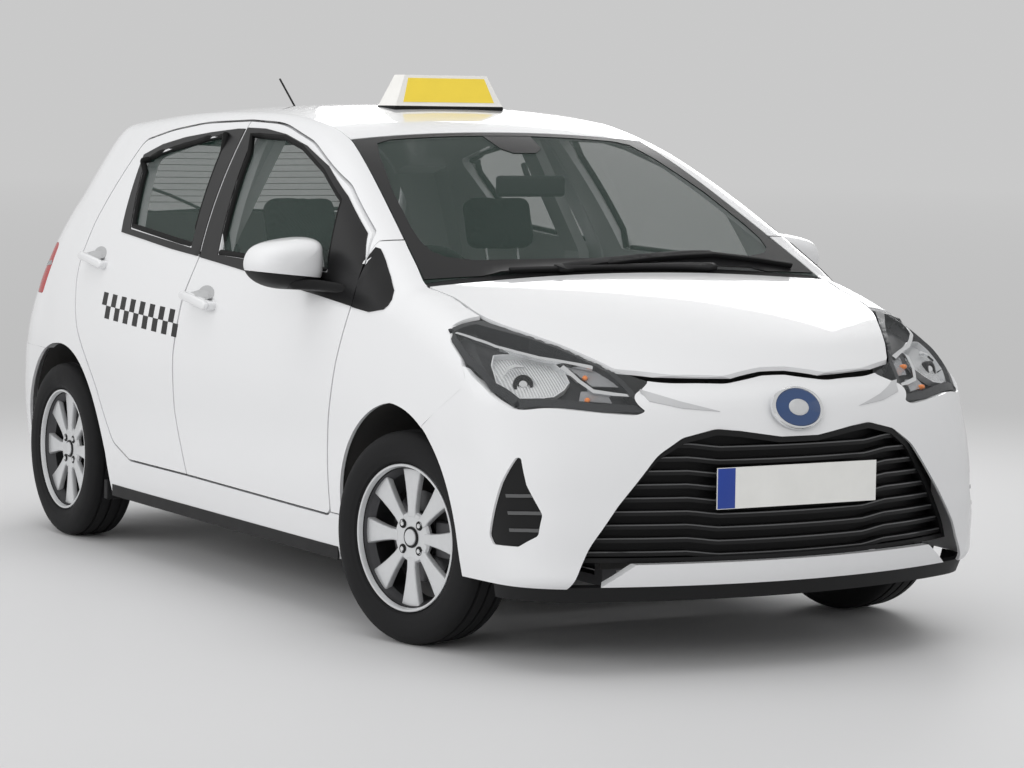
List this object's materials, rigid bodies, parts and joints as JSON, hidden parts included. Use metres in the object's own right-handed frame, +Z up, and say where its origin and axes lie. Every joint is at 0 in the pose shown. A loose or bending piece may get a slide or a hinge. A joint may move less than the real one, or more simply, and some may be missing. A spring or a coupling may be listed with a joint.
{
  "type": "taxi cab",
  "caption": "Five-door hatchback taxi cab, right-hand drive, with opening doors, bonnet and tailgate, steered front wheels, rolling wheels, cabin and a lit roof sign.",
  "frame": {"origin": "on the ground, midway between the bumpers and on the centre plane", "axes": "+X forward along the car, +Y to the car's left, +Z up"},
  "size_m": [3.9417, 1.97, 1.5999],
  "materials": {
    "body_paint": "gloss",
    "black_plastic": "matte",
    "dark_metal": "matte",
    "glass": "clear",
    "lamp_clear": "clear",
    "lamp_red": "gloss",
    "plate_pale": "satin",
    "underbody": "matte",
    "dark_trim": "matte",
    "seat_fabric": "woven",
    "sign_yellow": "gloss",
    "exhaust_steel": "dull",
    "alloy": "satin",
    "tyre": "matte"
  },
  "bodies": {
    "root": {"side_frames": "body_paint", "roof_panel": "body_paint", "windscreen": "glass", "cowl": "black_plastic", "front_fenders": "body_paint", "headlamps": "lamp_clear", "front_bumper": "body_paint", "grille": "black_plastic", "lower_bar": "body_paint", "splitter": "black_plastic", "fog_bezels": "black_plastic", "number_plate_front": "plate_pale", "tail_lamps": "lamp_red", "rear_bumper": "body_paint", "floor_pan": "underbody", "arch_liners": "black_plastic", "dashboard": "dark_trim", "front_seats": "seat_fabric", "rear_bench": "seat_fabric", "taxi_sign": "sign_yellow", "antenna": "black_plastic", "engine": "dark_metal", "front_suspension": "dark_metal", "rear_axle": "dark_metal", "exhaust": "exhaust_steel"},
    "bonnet": {"bonnet": "body_paint"},
    "tailgate": {"tailgate": "body_paint", "tailgate_glass": "glass", "number_plate_rear": "plate_pale"},
    "steering_wheel": {"steering_wheel": "dark_trim"},
    "door_front_right": {"door_front_right": "body_paint", "door_glass_front_right": "glass", "mirror_right": "body_paint"},
    "door_rear_right": {"door_rear_right": "body_paint", "door_glass_rear_right": "glass"},
    "knuckle_right": {"knuckle_right": "dark_metal"},
    "wheel_front_right": {"wheel_front_right": "alloy", "tyre_front_right": "tyre"},
    "wheel_rear_right": {"wheel_rear_right": "alloy", "tyre_rear_right": "tyre"},
    "door_front_left": {"door_front_left": "body_paint", "door_glass_front_left": "glass", "mirror_left": "body_paint"},
    "door_rear_left": {"door_rear_left": "body_paint", "door_glass_rear_left": "glass"},
    "knuckle_left": {"knuckle_left": "dark_metal"},
    "wheel_front_left": {"wheel_front_left": "alloy", "tyre_front_left": "tyre"},
    "wheel_rear_left": {"wheel_rear_left": "alloy", "tyre_rear_left": "tyre"}
  },
  "joints": [
    {"name": "bonnet_hinge", "type": "hinge", "parent": "root", "child": "bonnet", "pos_m": [1.086, 0, 1.022], "axis": [0, -1, 0], "range_deg": [0, 50]},
    {"name": "tailgate_hinge", "type": "hinge", "parent": "root", "child": "tailgate", "pos_m": [-1.507, 0, 1.441], "axis": [0, 1, 0], "range_deg": [0, 80]},
    {"name": "door_front_right_hinge", "type": "hinge", "parent": "root", "child": "door_front_right", "pos_m": [0.775, -0.837, 0.65], "axis": [0, 0, 1], "range_deg": [0, 65]},
    {"name": "door_rear_right_hinge", "type": "hinge", "parent": "root", "child": "door_rear_right", "pos_m": [-0.345, -0.837, 0.65], "axis": [0, 0, 1], "range_deg": [0, 65]},
    {"name": "door_front_left_hinge", "type": "hinge", "parent": "root", "child": "door_front_left", "pos_m": [0.775, 0.837, 0.65], "axis": [0, 0, -1], "range_deg": [0, 65]},
    {"name": "door_rear_left_hinge", "type": "hinge", "parent": "root", "child": "door_rear_left", "pos_m": [-0.345, 0.837, 0.65], "axis": [0, 0, -1], "range_deg": [0, 65]},
    {"name": "steer_left", "type": "hinge", "parent": "root", "child": "knuckle_left", "pos_m": [1.175, 0.7, 0.3], "axis": [0, 0, 1], "range_deg": [-44, 20]},
    {"name": "steer_right", "type": "hinge", "parent": "root", "child": "knuckle_right", "pos_m": [1.175, -0.7, 0.3], "axis": [0, 0, 1], "range_deg": [-44, 20]},
    {"name": "steering_wheel_turn", "type": "hinge", "parent": "root", "child": "steering_wheel", "pos_m": [0.455, -0.37, 0.905], "axis": [-0.9135, 0, 0.4067], "range_deg": [-618, 282]},
    {"name": "wheel_front_left_spin", "type": "hinge", "parent": "knuckle_left", "child": "wheel_front_left", "pos_m": [1.16772, 0.73423, 0.3], "axis": [-0.2079, 0.9781, 0], "continuous": true},
    {"name": "wheel_rear_left_spin", "type": "hinge", "parent": "root", "child": "wheel_rear_left", "pos_m": [-1.335, 0.735, 0.3], "axis": [0, 1, 0], "continuous": true},
    {"name": "wheel_front_right_spin", "type": "hinge", "parent": "knuckle_right", "child": "wheel_front_right", "pos_m": [1.18228, -0.73423, 0.3], "axis": [-0.2079, 0.9781, 0], "continuous": true},
    {"name": "wheel_rear_right_spin", "type": "hinge", "parent": "root", "child": "wheel_rear_right", "pos_m": [-1.335, -0.735, 0.3], "axis": [0, 1, 0], "continuous": true}
  ],
  "couplings": [
    {"joint": "steer_right", "follows": "steer_left", "ratio": 1},
    {"joint": "steering_wheel_turn", "follows": "steer_left", "ratio": 14}
  ]
}
